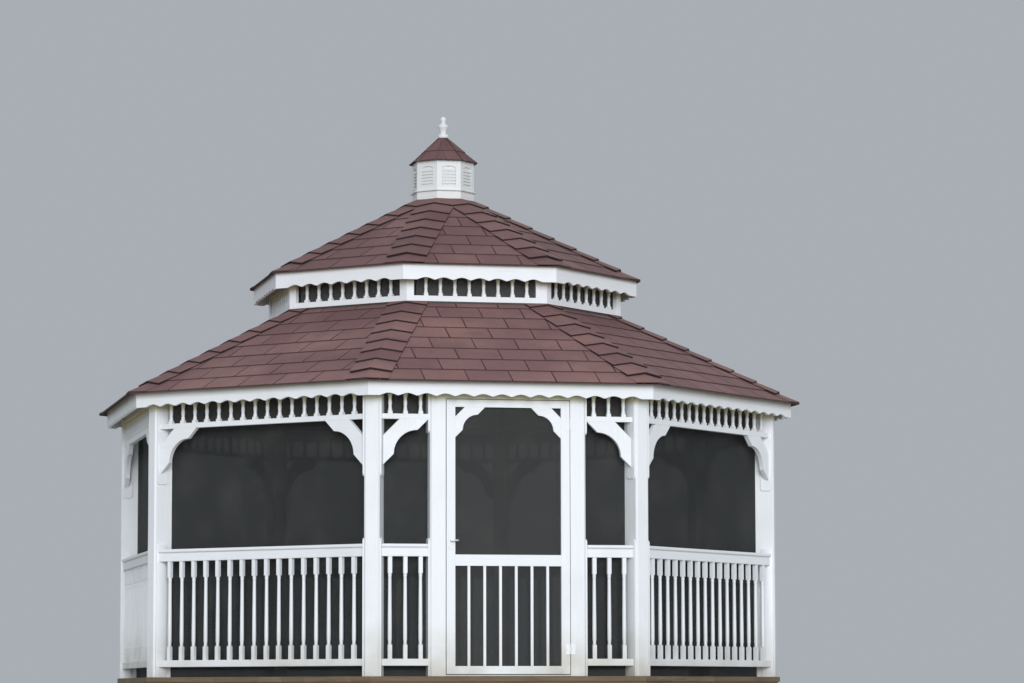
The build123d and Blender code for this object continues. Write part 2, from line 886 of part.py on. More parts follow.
os.makedirs("parts", exist_ok=True)
for build in (
    floor_rim, floor_joists, floor_deck,
    corner_posts, post_plates, door_jambs, door_head, door_stops, door_sill, header_beams,
    friezes, railings, corner_brackets, wall_screens,
    main_rafters, main_roof_boards, main_shingles,
    sill_beams, upper_walls, upper_screens, plate_beams,
    upper_rafters, upper_roof_boards, upper_shingles,
    cupola_curb, cupola_flange, cupola_walls, cupola_louvres, cupola_roof, finial,
    door_stiles, door_rails, door_pickets, door_brackets, door_screens, door_latch,
    door_hinges, jamb_hinges,
):
    save(build.__name__, build())
save("main_fascia", scalloped_fascia(main_boards, fascia_apothem, fascia_drop))
save("upper_fascia", scalloped_fascia(upper_boards, upper_fascia_apothem, upper_fascia_drop))
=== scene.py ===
from math import cos, pi, radians, sin, tan
from random import Random

import bmesh
import bpy
from mathutils import Matrix, Vector


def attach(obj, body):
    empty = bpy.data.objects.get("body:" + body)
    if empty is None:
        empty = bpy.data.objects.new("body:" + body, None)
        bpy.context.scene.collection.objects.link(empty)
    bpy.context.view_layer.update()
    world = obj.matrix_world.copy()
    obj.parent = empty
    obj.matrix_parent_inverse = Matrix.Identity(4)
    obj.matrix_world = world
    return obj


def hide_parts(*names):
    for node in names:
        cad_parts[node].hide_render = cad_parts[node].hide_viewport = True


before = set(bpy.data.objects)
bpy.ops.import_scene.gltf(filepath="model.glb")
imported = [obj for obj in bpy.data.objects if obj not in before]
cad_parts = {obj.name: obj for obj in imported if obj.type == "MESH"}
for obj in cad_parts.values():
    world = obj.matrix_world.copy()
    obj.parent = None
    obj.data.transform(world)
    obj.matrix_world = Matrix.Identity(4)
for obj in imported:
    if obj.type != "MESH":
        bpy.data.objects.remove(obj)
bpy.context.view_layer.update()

# Pieces are drawn in millimetres above the deck, with the front bay facing -Y,
# and turned into metres above the ground when they are finished.
gazebo = {
    "bays": 8,
    "floorHeight": 222,
    "halfBay": 22.5,          # degrees
    "halfSide": 978.5,        # half a bay, through the middles of the posts
    "postApothem": 2362.31,
    "plateHalf": 69,
    "friezeApothem": 2392.31,
    "leftJambEdge": -586.5,
    "rightJambEdge": 585.5,
    "turningPitch": 111.2,
    "railOverrun": 60,        # of a rail into its post, before it is trimmed
}


# Finishes

def toLinear(hexColour):
    # sRGB hex to linear colour
    channels = [int(hexColour[i:i + 2], 16) / 255 for i in (1, 3, 5)]
    return [c / 12.92 if c <= 0.04045 else ((c + 0.055) / 1.055) ** 2.4 for c in channels] + [1]


def addNode(tree, kind, settings=None, inputs=()):
    # Inputs are given by name or number, or in the node's own order
    made = tree.nodes.new("ShaderNode" + kind)
    for key, value in (settings or {}).items():
        setattr(made, key, value)
    for key, value in inputs.items() if isinstance(inputs, dict) else enumerate(inputs):
        if isinstance(value, bpy.types.Node):
            value = value.outputs[0]
        if isinstance(value, bpy.types.NodeSocket):
            tree.links.new(value, made.inputs[key])
        else:
            made.inputs[key].default_value = value
    return made


def startFinish(name, **sockets):
    finish = bpy.data.materials.new(name)
    finish.use_nodes = True
    shader = finish.node_tree.nodes["Principled BSDF"]
    for key, value in sockets.items():
        shader.inputs[key.replace("_", " ")].default_value = value
    return finish, finish.node_tree, shader


def layCoats(tree, ground, coats):
    # Lays coats over a ground colour, each as thick as its patterns multiplied. A pattern comes
    # with the range that is read from it and the range that this becomes, 0 to 1 if none is given.
    colour = toLinear(ground)
    for coat, *patterns in coats:
        amounts = [addNode(tree, "MapRange", {}, pattern) for pattern in patterns]
        amount = amounts[0]
        for other in amounts[1:]:
            amount = addNode(tree, "Math", {"operation": "MULTIPLY"}, (amount, other))
        mixed = addNode(tree, "Mix", {"data_type": "RGBA"}, {0: amount, 6: colour, 7: toLinear(coat)})
        colour = mixed.outputs[2]
    return colour


def wireShader(tree, shader, colour, height, strength, depth):
    # Colour and fine relief, with its depth in millimetres
    tree.links.new(colour, shader.inputs["Base Color"])
    bump = addNode(tree, "Bump", {}, {"Height": height, "Strength": strength, "Distance": depth / 1000})
    tree.links.new(bump.outputs[0], shader.inputs["Normal"])


paintLook = {
    "white": "#f0f2f3",
    "brushed": "#e1e5e8",     # thinner paint between the brush marks
    "grime": "#ccccc4",       # dust and pollen that rain leaves
    "splash": "#b3ab96",      # soil that rain splashes up
    "pollenAndWarmShade": "#d0c592",      # where the fascias keep the rain off: pollen, and painted warm shade
    "eaveStainAndShade": "#96865e",   # mildew and tannin, with painted shade, in the drip edge's shade
    "splashed": (0.2, 0.62),  # metres above the ground
    "greyerAbove": (3.75, 3.95),  # metres above the ground, greyer from here up
    "pollenShadeBands": ((2.186, 2.220, 2.6), (3.158, 3.192, 3.4)),   # metres above the ground, painted warm shade and pollen just under each fascia
    "grainWidth": 9,          # mm, real grain is finer and wouldn't show
    "grainLength": 260,       # mm
    "clouds": 435,            # mm
}


def brushedPaint(name, look, stainedAndShaded=False):
    # Satin acrylic paint brushed on planed pine: fine streaks along each board, a soft gloss
    finish, tree, shader = startFinish(name, Roughness=0.42)
    uv = addNode(tree, "TexCoord").outputs["UV"]
    place = addNode(tree, "TexCoord").outputs["Object"]
    stretch = (1000 / look["grainLength"], 1000 / look["grainWidth"], 1)
    along = addNode(tree, "Mapping", {}, {"Vector": uv, "Scale": stretch})
    grain = addNode(tree, "TexNoise", {}, {"Vector": along, "Scale": 1, "Detail": 4, "Roughness": 0.55})
    cloud = addNode(tree, "TexNoise", {}, {"Vector": place, "Scale": 1000 / look["clouds"], "Detail": 5,
                                           "Roughness": 0.6})
    tone = addNode(tree, "Attribute", {"attribute_name": "tone"}).outputs["Fac"]
    height = addNode(tree, "SeparateXYZ", {}, (place,)).outputs["Z"]
    coats = [(look["brushed"], (grain, 0.42, 0.75, 0, 0.55)),
             (look["brushed"], (tone, 0, 1, 0, 0.3)),
             (look["grime"], (cloud, 0.5, 0.8, 0, 0.25)),
             (look["splash"], (height, *look["splashed"], 0.8, 0), (cloud, 0.3, 0.7))]
    # On the fascias: painted shade with a mildew tint, darkening up under the drip edge
    if stainedAndShaded:
        stainAndShade = addNode(tree, "Attribute", {"attribute_name": "stainAndShade"}).outputs["Fac"]
        coats.append((look["eaveStainAndShade"], (stainAndShade, 0, 1), (cloud, 0.25, 0.7, 0.55, 0.95)))
    # Greyer high up, over the cupola
    coats.append((look["grime"], (height, *look["greyerAbove"], 0, 0.45)))
    # Painted warm shade with pollen: yellow bands just under the fascias
    if not stainedAndShaded:
        coats += [(look["pollenAndWarmShade"], (height, low, high, 0, 0.75), (height, end, end + 0.02, 1, 0))
                  for low, high, end in look["pollenShadeBands"]]
    gloss = addNode(tree, "MapRange", {}, (cloud, 0.3, 0.7, 0.36, 0.55))
    tree.links.new(gloss.outputs[0], shader.inputs["Roughness"])
    wireShader(tree, shader, layCoats(tree, look["white"], coats), grain, 0.35, 0.6)
    return finish


timberLook = {
    "grainWidth": 13.33,      # mm, real grain is finer and wouldn't show
    "grainLength": 312.5,     # mm
    "clouds": 333,            # mm
    "seam": "#1d1712",
    "seamShare": 0.035,       # of a board's width
}


def bareTimber(name, look, light, dark, knots, plankWidth, rough):
    # Softwood boards with their seams: grain along the board, a dark line where two meet
    finish, tree, shader = startFinish(name, Roughness=rough)
    uv = addNode(tree, "TexCoord").outputs["UV"]
    stretch = (1000 / look["grainLength"], 1000 / look["grainWidth"], 1)
    along = addNode(tree, "Mapping", {}, {"Vector": uv, "Scale": stretch})
    grain = addNode(tree, "TexNoise", {}, {"Vector": along, "Scale": 1, "Detail": 6, "Roughness": 0.62})
    cloud = addNode(tree, "TexNoise", {}, {"Vector": uv, "Scale": 1000 / look["clouds"], "Detail": 3})
    tone = addNode(tree, "Attribute", {"attribute_name": "tone"}).outputs["Fac"]
    coats = [(dark, (grain, 0.3, 0.72)),
             (knots, (cloud, 0.5, 0.78, 0, 0.5)),
             (dark, (tone, 0, 1, 0, 0.45))]
    height = grain
    if plankWidth:
        across = addNode(tree, "SeparateXYZ", {}, (uv,)).outputs["Y"]
        boards = addNode(tree, "Math", {"operation": "MULTIPLY"}, (across, 1000 / plankWidth))
        inBoard = addNode(tree, "Math", {"operation": "FRACT"}, (boards,))
        seam = (inBoard, 0, look["seamShare"], 1, 0)
        coats.append((look["seam"], seam))
        sunk = addNode(tree, "MapRange", {}, seam)
        height = addNode(tree, "Math", {"operation": "SUBTRACT"}, (grain, sunk))
    wireShader(tree, shader, layCoats(tree, light, coats), height, 0.4, 1.5)
    return finish


shingleLook = {
    "darkest": "#694b4d",
    "middle": "#835f5e",
    "lightest": "#95706b",
    "fadedAndSunlit": "#a98377",
    "cutEdgeAndShade": ("#463332", "#56403d"),
    # Darker still: painted shadow under the hip caps
    "capEdgeShadow": ("#241817", "#33231f"),
    "granule": 9,             # mm, real granules are 1.5 mm and wouldn't show
    "feltGrit": 5.56,         # mm
    "patches": 714,           # mm
    "weather": 111,           # mm
}


def mineralShingle(name, look, shade):
    # Asphalt shingle with ceramic granules: matt, speckled, each tab its own shade
    finish, tree, shader = startFinish(name, Roughness=0.92)
    place = addNode(tree, "TexCoord").outputs["Object"]
    tone = addNode(tree, "Attribute", {"attribute_name": "tone"}).outputs["Fac"]
    patches, speckle, weather = [
        addNode(tree, "TexNoise", {}, {"Vector": place, "Scale": 1000 / look[size], "Detail": detail})
        for size, detail in (("patches", 3), ("granule", 2), ("weather", 4))]
    coats = [(look["lightest"], (tone, 0, 1)),
             (look["middle"], (0.5, 0, 1)),       # evens the tones out by half
             # Lighter warm patches: faded granules, and painted patches of sunlight
             (look["fadedAndSunlit"], (patches, 0.5, 0.72, 0, 0.55)),
             (look["darkest"], (speckle, 0.35, 0.65, 0, 0.4)),
             (look["darkest"], (weather, 0.55, 0.8, 0, 0.4))]
    colour = layCoats(tree, look["darkest"], coats)
    # Painted shade: the upper tier and the cupola get darker copies of this finish
    shaded = addNode(tree, "Mix", {"data_type": "RGBA", "blend_type": "MULTIPLY"},
                     {0: 1, 6: colour, 7: [shade, shade, shade, 1]})
    wireShader(tree, shader, shaded.outputs[2], speckle, 0.6, 1.5)
    return finish


def cutShingle(name, look, edge):
    # Cut edge of a shingle: black asphalt felt, made dark as painted shade too, under butts and in
    # slots
    finish, tree, shader = startFinish(name, Roughness=0.95)
    place = addNode(tree, "TexCoord").outputs["Object"]
    grit = addNode(tree, "TexNoise", {}, {"Vector": place, "Scale": 1000 / look["feltGrit"],
                                          "Detail": 2})
    dark, light = look[edge]
    tree.links.new(layCoats(tree, dark, [(light, (grit, 0.3, 0.7))]), shader.inputs["Base Color"])
    return finish


screenLook = {
    "thread": "#323434",
    "doorThread": "#3e3f3e",
    # Lighter patches on the mesh: dust, and painted reflections
    "dustAndReflection": "#52514d",
    "dustAndShadeLift": "#4f4e4c",     # painted light that lifts the eaves' shade, with dust on what they keep dry
    "shadeLiftFrom": (2.06, 2.12),  # metres above the ground, where the painted light begins
    "threadPitch": 5,         # mm, the real mesh is 1.4 mm and wouldn't show
    "clouds": 286,            # mm
    "cover": 0.62,            # share of the light that one face of a sheet stops
}


def insectMesh(name, look, thread, liftsEaveShade):
    # Vinyl-coated fibreglass mesh, charcoal: dark, dull, a little see-through
    finish, tree, shader = startFinish(name, Roughness=0.7, Alpha=look["cover"],
                                       Specular_IOR_Level=0.25)
    place = addNode(tree, "TexCoord").outputs["Object"]
    cloud = addNode(tree, "TexNoise", {}, {"Vector": place, "Scale": 1000 / look["clouds"], "Detail": 4,
                                           "Roughness": 0.6})
    upright = addNode(tree, "SeparateXYZ", {}, (place,)).outputs["Z"]
    # Lighter patches: dust, and painted reflections
    coats = [(look["dustAndReflection"], (cloud, 0.48, 0.8, 0, 0.5))]
    # Painted light: the mesh is made lighter in the eaves' shade, as dust
    if liftsEaveShade:
        coats.append((look["dustAndShadeLift"], (upright, *look["shadeLiftFrom"])))
    around = addNode(tree, "VectorMath", {"operation": "LENGTH"}, (place,)).outputs["Value"]
    turns = 2000 * pi / look["threadPitch"]
    waves = [addNode(tree, "Math", {"operation": "SINE"},
                     (addNode(tree, "Math", {"operation": "MULTIPLY"}, (line, turns)),))
             for line in (around, upright)]
    weave = addNode(tree, "Math", {"operation": "MAXIMUM"}, waves)
    wireShader(tree, shader, layCoats(tree, thread, coats), weave, 0.3, 0.4)
    return finish


scuffSize = 16.67             # mm


def coatedMetal(name, colour, worn, metallic, rough):
    # Sheet steel or die-cast zinc under a coat: small scuffs where hands and weather wear it
    finish, tree, shader = startFinish(name, Metallic=metallic, Roughness=rough)
    place = addNode(tree, "TexCoord").outputs["Object"]
    scuff = addNode(tree, "TexNoise", {}, {"Vector": place, "Scale": 1000 / scuffSize, "Detail": 6,
                                           "Roughness": 0.7})
    gloss = addNode(tree, "MapRange", {}, (scuff, 0.3, 0.7, rough - 0.08, rough + 0.12))
    tree.links.new(gloss.outputs[0], shader.inputs["Roughness"])
    shade = layCoats(tree, colour, [(worn, (scuff, 0.55, 0.75, 0, 0.6))])
    wireShader(tree, shader, shade, scuff, 0.15, 0.3)
    return finish


whitePaint = brushedPaint("satinWhitePaintOnPine", paintLook)
fasciaPaint = brushedPaint("satinWhitePaintWithEaveShade", paintLook, stainedAndShaded=True)
deckPine = bareTimber("pressureTreatedDeckPine", timberLook, "#8d7a62", "#5f4f3d", "#473a2d", 0, 0.8)
roofPine = bareTimber("sawnRoofPine", timberLook, "#a98f6b", "#7c6446", "#54422e", 0, 0.75)
boardPine = bareTimber("grooveJointedPineBoards", timberLook, "#b09670", "#85694a", "#5c4630", 140, 0.7)
shingle = mineralShingle("redBlendAsphaltShingle", shingleLook, 1)
# Darker copies of the same shingle, painted shade for the upper tier and the cupola
shadedTierShingle = mineralShingle("redBlendAsphaltShingleUpperTierShaded", shingleLook, 0.86)
shadedCupolaShingle = mineralShingle("redBlendAsphaltShingleCupolaShaded", shingleLook, 0.68)
shingleEdgeAndShade = cutShingle("asphaltShingleCutEdgeAndShade", shingleLook, "cutEdgeAndShade")
capEdgeShadow = cutShingle("asphaltCapShadowEdge", shingleLook, "capEdgeShadow")
screenMesh = insectMesh("charcoalFibreglassMesh", screenLook, screenLook["thread"], True)
doorMesh = insectMesh("charcoalFibreglassDoorMesh", screenLook, screenLook["doorThread"], False)
whiteMetal = coatedMetal("whitePowderCoatedZinc", "#eceeed", "#c5c5c0", 0.0, 0.35)
darkFlashingAndShade = coatedMetal("weatheredDarkFlashingAndShade", "#3f3b33", "#57524a", 0.0, 0.6)
greyMetal = coatedMetal("satinDieCastZinc", "#c9cbcb", "#a3a5a5", 0.6, 0.4)
millAluminium = coatedMetal("millFinishAluminiumSill", "#a9a9a6", "#7f7d78", 1.0, 0.45)
print("finishes made")


# How pieces are made and finished

def turnTo(bay):
    return Matrix.Rotation(radians(360 / gazebo["bays"] * bay), 4, "Z")


def addBar(bm, low, high):
    # A planed bar between two opposite corners
    size = [b - a for a, b in zip(low, high)]
    middle = [(a + b) / 2 for a, b in zip(low, high)]
    place = Matrix.Translation(middle) @ Matrix.Diagonal((*size, 1))
    return bmesh.ops.create_cube(bm, size=1, matrix=place)["verts"]


def saw(bm, point, outwards):
    # Saws everything off beyond a plane and closes the cut
    cut = bmesh.ops.bisect_plane(bm, geom=bm.verts[:] + bm.edges[:] + bm.faces[:], dist=1e-5,
                                 plane_co=point, plane_no=outwards, clear_outer=True)
    rim = [edge for edge in cut["geom_cut"] if isinstance(edge, bmesh.types.BMEdge)]
    bmesh.ops.holes_fill(bm, edges=rim, sides=0)


def hipNormal(side):
    # Square to the hip at that side of the front bay, pointing out of the bay
    tilt = radians(gazebo["halfBay"])
    return Vector((side * cos(tilt), sin(tilt), 0))


def sawAtPost(bm, side, offset):
    # Trims a rail to the side face of the corner post at that side of the bay
    saw(bm, hipNormal(side) * -offset, hipNormal(side))


def sawAtHips(bm, gap):
    # Mitres a piece of the front bay at both hips
    for side in (-1, 1):
        saw(bm, hipNormal(side) * -gap / 2, hipNormal(side))


def keepShape(bm):
    # Holds a drawn shape as a mesh that can be placed many times
    mesh = bpy.data.meshes.new("shape")
    bm.to_mesh(mesh)
    bm.free()
    return mesh


def placeShape(bm, shape, place):
    shape.transform(place)
    bm.from_mesh(shape)
    shape.transform(place.inverted())


def layGrain(bm, seed):
    # Runs the UV map along each board's longest way, and gives each board a tone
    uv = bm.loops.layers.uv.verify()
    tone = bm.faces.layers.float.new("tone")
    chance = Random(seed)
    seen = set()
    for first in bm.faces:
        if first in seen:
            continue
        board = [first]
        seen.add(first)
        for face in board:
            for edge in face.edges:
                for near in edge.link_faces:
                    if near not in seen:
                        seen.add(near)
                        board.append(near)
        longest = max((edge for face in board for edge in face.edges), key=lambda e: e.calc_length())
        along = (longest.verts[1].co - longest.verts[0].co).normalized()
        shift = (chance.uniform(0, 9), chance.uniform(0, 9))
        shade = chance.random()
        for face in board:
            across = face.normal.cross(along)
            if across.length < 0.1:
                across = face.normal.orthogonal()
            across.normalize()
            face[tone] = shade
            for loop in face.loops:
                loop[uv].uv = (loop.vert.co.dot(along) + shift[0], loop.vert.co.dot(across) + shift[1])


def finishPiece(name, bm, finishes, body="gazebo", nodes=(), ease=0,
                roundAngle=None, grain=True, inMetres=False):
    # Turns a drawn piece into an object that rides on its body
    if not inMetres:
        lift = Matrix.Translation((0, 0, gazebo["floorHeight"] / 1000)) @ Matrix.Scale(0.001, 4)
        bmesh.ops.transform(bm, matrix=lift, verts=bm.verts)
    bm.normal_update()
    if grain:
        layGrain(bm, len(name))
    mesh = bpy.data.meshes.new(name)
    bm.to_mesh(mesh)
    bm.free()
    piece = bpy.data.objects.new(name, mesh)
    bpy.context.scene.collection.objects.link(piece)
    for finish in finishes:
        mesh.materials.append(finish)
    if roundAngle:
        mesh.shade_smooth()
        mesh.set_sharp_from_angle(angle=radians(roundAngle))
    if ease:
        softened = piece.modifiers.new("easedEdges", "BEVEL")
        softened.width = ease / 1000
        softened.segments = 2
        softened.limit_method = "ANGLE"
        softened.angle_limit = radians(35)
    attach(piece, body)
    if nodes:
        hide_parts(*nodes)
    return piece


def fromFrame(name, nodes, finishes, body="gazebo", ease=1.5, roundAngle=None):
    # A packed timber with its edges eased, its triangles merged into whole faces first
    bm = bmesh.new()
    for node in nodes:
        bm.from_mesh(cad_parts[node].data)
    bmesh.ops.remove_doubles(bm, verts=bm.verts, dist=1e-5)
    bmesh.ops.dissolve_limit(bm, angle_limit=radians(0.5), verts=bm.verts, edges=bm.edges)
    return finishPiece(name, bm, finishes, body, nodes, ease, roundAngle, inMetres=True)


def spunShape(steps, sides):
    # Turns a profile of (radius, height) on the lathe, with closed ends
    bm = bmesh.new()
    points = [bm.verts.new((radius, 0, height)) for radius, height in steps]
    lines = [bm.edges.new(pair) for pair in zip(points, points[1:])]
    bmesh.ops.spin(bm, geom=points + lines, cent=(0, 0, 0), axis=(0, 0, 1), dvec=(0, 0, 0),
                   angle=2 * pi, steps=sides, use_merge=True, use_duplicate=False)
    bmesh.ops.remove_doubles(bm, verts=bm.verts, dist=0.001)
    openEnds = [edge for edge in bm.edges if edge.is_boundary]
    if openEnds:
        bmesh.ops.holes_fill(bm, edges=openEnds, sides=0)
    bmesh.ops.recalc_face_normals(bm, faces=bm.faces)
    for face in bm.faces:
        face.smooth = True
    return bm


# Sections of wall: seven whole bays, and the two narrow ones beside the door

def faceLine(distance, offset):
    # Half the width between the corner posts' faces at a distance from the axis
    tilt = radians(gazebo["halfBay"])
    return gazebo["halfSide"] - (offset - (distance - gazebo["postApothem"]) * sin(tilt)) / cos(tilt)


fullHalf = faceLine(gazebo["friezeApothem"], gazebo["plateHalf"])
sections = [(bay, -fullHalf, fullHalf) for bay in range(1, gazebo["bays"])]
sections += [(0, -fullHalf, gazebo["leftJambEdge"]), (0, gazebo["rightJambEdge"], fullHalf)]


def turningPlaces(left, right):
    # Even places, with what is left over shared by the two ends
    count = int((right - left) / gazebo["turningPitch"] + 0.1)
    return [(left + right) / 2 + (i - (count - 1) / 2) * gazebo["turningPitch"] for i in range(count)]


def railsInSections(bars):
    # Runs bars (depth from the middle, thickness, foot, top) through every section
    whole = bmesh.new()
    for bay, left, right in sections:
        part = bmesh.new()
        for shift, thickness, foot, top in bars:
            near = -gazebo["friezeApothem"] - shift
            start = left if left > 0 else left - gazebo["railOverrun"]
            end = right if right < 0 else right + gazebo["railOverrun"]
            addBar(part, (start, near - thickness / 2, foot), (end, near + thickness / 2, top))
        if left < 0:
            sawAtPost(part, -1, gazebo["plateHalf"])
        if right > 0:
            sawAtPost(part, 1, gazebo["plateHalf"])
        placeShape(whole, keepShape(part), turnTo(bay))
    return whole


def turningsInSections(shape):
    whole = bmesh.new()
    for bay, left, right in sections:
        for x in turningPlaces(left, right):
            placeShape(whole, shape, turnTo(bay) @ Matrix.Translation((x, -gazebo["friezeApothem"], 0)))
    return whole


friezeValues = {
    "thickness": 38,
    "bottomRail": (1840, 1878),
    "topRail": (2036, 2060),
    "block": 32,
    "blockHeight": 19,
    "length": 158,
    "rings": [(15, 18), (16, 21), (15.4, 26), (13.8, 32), (13.8, 42), (11.4, 48), (11.4, 53), (13, 64),
              (14, 79), (13, 94), (11.4, 105), (11.4, 110), (13.8, 116), (13.8, 126), (15.4, 132),
              (16, 137), (15, 140)],
    "sides": 10,
}


def spindleShape(values, foot, length):
    # Turned spindle with square blocks where it meets its rails
    stretch = length / values["length"]
    steps = [(radius, foot + height * stretch) for radius, height in values["rings"]]
    bm = spunShape(steps, values["sides"])
    half, block = values["block"] / 2, values["blockHeight"] * stretch
    addBar(bm, (-half, -half, foot), (half, half, foot + block))
    addBar(bm, (-half, -half, foot + length - block), (half, half, foot + length))
    return keepShape(bm)


def makeFriezes(values):
    bars = [(0, values["thickness"], *values[rail]) for rail in ("bottomRail", "topRail")]
    rails = railsInSections(bars)
    finishPiece("frieze_rails", rails, [whitePaint], nodes=["friezes"], ease=2)
    foot = values["bottomRail"][1]
    spindles = turningsInSections(spindleShape(values, foot, values["topRail"][0] - foot))
    finishPiece("frieze_spindles", spindles, [whitePaint], nodes=["friezes"])


makeFriezes(friezeValues)
print("friezes made")

railingValues = {
    "cap": (64, 921, 945),
    "groove": (30, 914, 921),
    "topRail": (44, 855, 914),
    "bottomRail": (44, 75, 125),
    "block": 29,
    "topBlock": 120,
    "bottomBlock": 100,
    "rings": [(14.5, 0), (12, 12), (11.8, 18), (14.6, 40), (14.8, 110), (13.4, 300), (12, 466),
              (11.6, 484), (14.6, 491), (11.8, 498), (14.5, 510)],
    "sides": 10,
}


def makeRailings(values):
    bars = [(0, *values[part]) for part in ("groove", "topRail", "bottomRail")]
    finishPiece("railing_rails", railsInSections(bars), [whitePaint], nodes=["railings"], ease=3)
    caps = railsInSections([(0, *values["cap"])])
    finishPiece("railing_caps", caps, [whitePaint], nodes=["railings"], ease=8)
    foot, top, half = values["bottomRail"][2], values["topRail"][1], values["block"] / 2
    turnedFoot = foot + values["bottomBlock"]
    rings = [(radius, turnedFoot + height) for radius, height in values["rings"]]
    bm = spunShape(rings, values["sides"])
    addBar(bm, (-half, -half, foot), (half, half, turnedFoot))
    addBar(bm, (-half, -half, top - values["topBlock"]), (half, half, top))
    balusters = turningsInSections(keepShape(bm))
    finishPiece("railing_balusters", balusters, [whitePaint], nodes=["railings"])


makeRailings(railingValues)
print("railings made")


# Curved brackets

bracketValues = {
    "wall": {"leg": 330, "corner": 120, "endCut": 78, "thickness": 38},
    "door": {"leg": 220, "corner": 70, "endCut": 55, "thickness": 20},
    "doorCorner": (390, -2407.31, 1932),      # upper right corner of the door's opening
    "arcSteps": 14,
}


def bracketShape(leg, corner, endCut, thickness):
    # Sawn brace in the corner at the origin: its inside curve is swept, then it gets its thickness
    bm = bmesh.new()
    inner = leg - endCut
    start = bm.verts.new((-endCut, 0, -inner))
    bmesh.ops.spin(bm, geom=[start], cent=(-inner, 0, -inner), axis=(0, -1, 0), dvec=(0, 0, 0),
                   angle=pi / 2, steps=bracketValues["arcSteps"], use_merge=False, use_duplicate=False)
    curve = sorted(bm.verts, key=lambda v: v.co.x)
    ends = [bm.verts.new(co) for co in ((0, 0, -leg), (0, 0, -corner), (-corner, 0, 0), (-leg, 0, 0))]
    bm.faces.new(curve + ends)
    pushed = bmesh.ops.extrude_face_region(bm, geom=bm.faces[:])
    moved = [v for v in pushed["geom"] if isinstance(v, bmesh.types.BMVert)]
    bmesh.ops.translate(bm, vec=(0, thickness, 0), verts=moved)
    bmesh.ops.translate(bm, vec=(0, -thickness / 2, 0), verts=bm.verts)
    bmesh.ops.remove_doubles(bm, verts=bm.verts, dist=0.01)
    bmesh.ops.recalc_face_normals(bm, faces=bm.faces)
    return keepShape(bm)


def makeBrackets(values):
    shape = bracketShape(**values["wall"])
    flipped = Matrix.Diagonal((-1, 1, 1, 1))
    whole = bmesh.new()
    for bay, left, right in sections:
        for side, edge in ((-1, left), (1, right)):
            if abs(edge) < fullHalf - 1:
                continue
            part = bmesh.new()
            corner = Matrix.Translation((edge, -gazebo["friezeApothem"], friezeValues["bottomRail"][0]))
            placeShape(part, shape, corner @ (flipped if side < 0 else Matrix()))
            sawAtPost(part, side, gazebo["plateHalf"])
            bmesh.ops.recalc_face_normals(part, faces=part.faces)
            placeShape(whole, keepShape(part), turnTo(bay))
    finishPiece("bay_brackets", whole, [whitePaint], nodes=["corner_brackets"], ease=2)

    shape = bracketShape(**values["door"])
    corner = Matrix.Translation(values["doorCorner"])
    whole = bmesh.new()
    for side in (flipped, Matrix()):
        part = bmesh.new()
        placeShape(part, shape, side @ corner)
        bmesh.ops.recalc_face_normals(part, faces=part.faces)
        placeShape(whole, keepShape(part), Matrix())
    finishPiece("leaf_brackets", whole, [whitePaint], body="screen_door", nodes=["door_brackets"],
                ease=1.5)


makeBrackets(bracketValues)
print("brackets made")


# Plain timber, taken from the frame with its edges eased

easedTimber = {
    "turned_corner_posts": (["corner_posts"], 1.5),
    "casing_plates": (["post_plates"], 1.5),
    "door_frame": (["door_jambs", "door_head"], 1.5),
    "door_rebate": (["door_stops"], 1),
    "ring_beams": (["header_beams"], 2),
    "plate_ring": (["plate_beams"], 2),
    "curb": (["cupola_curb"], 1),
    "flange": (["cupola_flange"], 2.5),
    "cupola_panels": (["cupola_walls"], 1),
}
for name, (nodes, ease) in easedTimber.items():
    fromFrame(name, nodes, [whitePaint], ease=ease)
for name, nodes, ease in (("leaf_stiles", ["door_stiles"], 1.5), ("leaf_rails", ["door_rails"], 1.5),
                          ("leaf_pickets", ["door_pickets"], 2)):
    fromFrame(name, nodes, [whitePaint], body="screen_door", ease=ease)
for name, nodes in (("lower_rafters", ["main_rafters"]), ("higher_rafters", ["upper_rafters"])):
    fromFrame(name, nodes, [roofPine], ease=1.5)
for name, nodes in (("lower_boards", ["main_roof_boards"]), ("higher_boards", ["upper_roof_boards"])):
    fromFrame(name, nodes, [boardPine], ease=0)
fromFrame("rim_boards", ["floor_rim"], [deckPine], ease=2)
fromFrame("joists", ["floor_joists"], [deckPine], ease=2)
# The sill ring is dark flashing, with painted shade under the upper wall's edge
fromFrame("sill_ring", ["sill_beams"], [darkFlashingAndShade], ease=2)
fromFrame("threshold", ["door_sill"], [millAluminium], ease=2)
print("plain timber eased")


# Deck of separate boards

deckValues = {"apothem": 2442.31, "boardWidth": 140, "gap": 5, "thickness": 38, "boardHalf": 2600}


def makeDeck(values):
    bm = bmesh.new()
    pitch = values["boardWidth"] + values["gap"]
    rows = int(2 * values["apothem"] / pitch) + 1
    start = -rows * pitch / 2
    for row in range(rows):
        low = start + row * pitch + values["gap"] / 2
        addBar(bm, (-values["boardHalf"], low, -values["thickness"]),
               (values["boardHalf"], low + values["boardWidth"], 0))
    for bay in range(gazebo["bays"]):
        outwards = turnTo(bay) @ Vector((0, -1, 0))
        saw(bm, outwards * values["apothem"], outwards)
    finishPiece("deck_boards", bm, [deckPine], nodes=["floor_deck"], ease=3)


makeDeck(deckValues)
print("deck laid")


# Roofs

roofPitch = radians(28.1)
slope = tan(roofPitch)
boardPoints = {               # distance from the axis, and height there, of each tier's roof boards
    "main": (2411.31, 2201.54),
    "upper": (1311, 3161.09),
}


def boardHeight(tier, distance):
    reach, height = boardPoints[tier]
    return height + (reach - distance) * slope


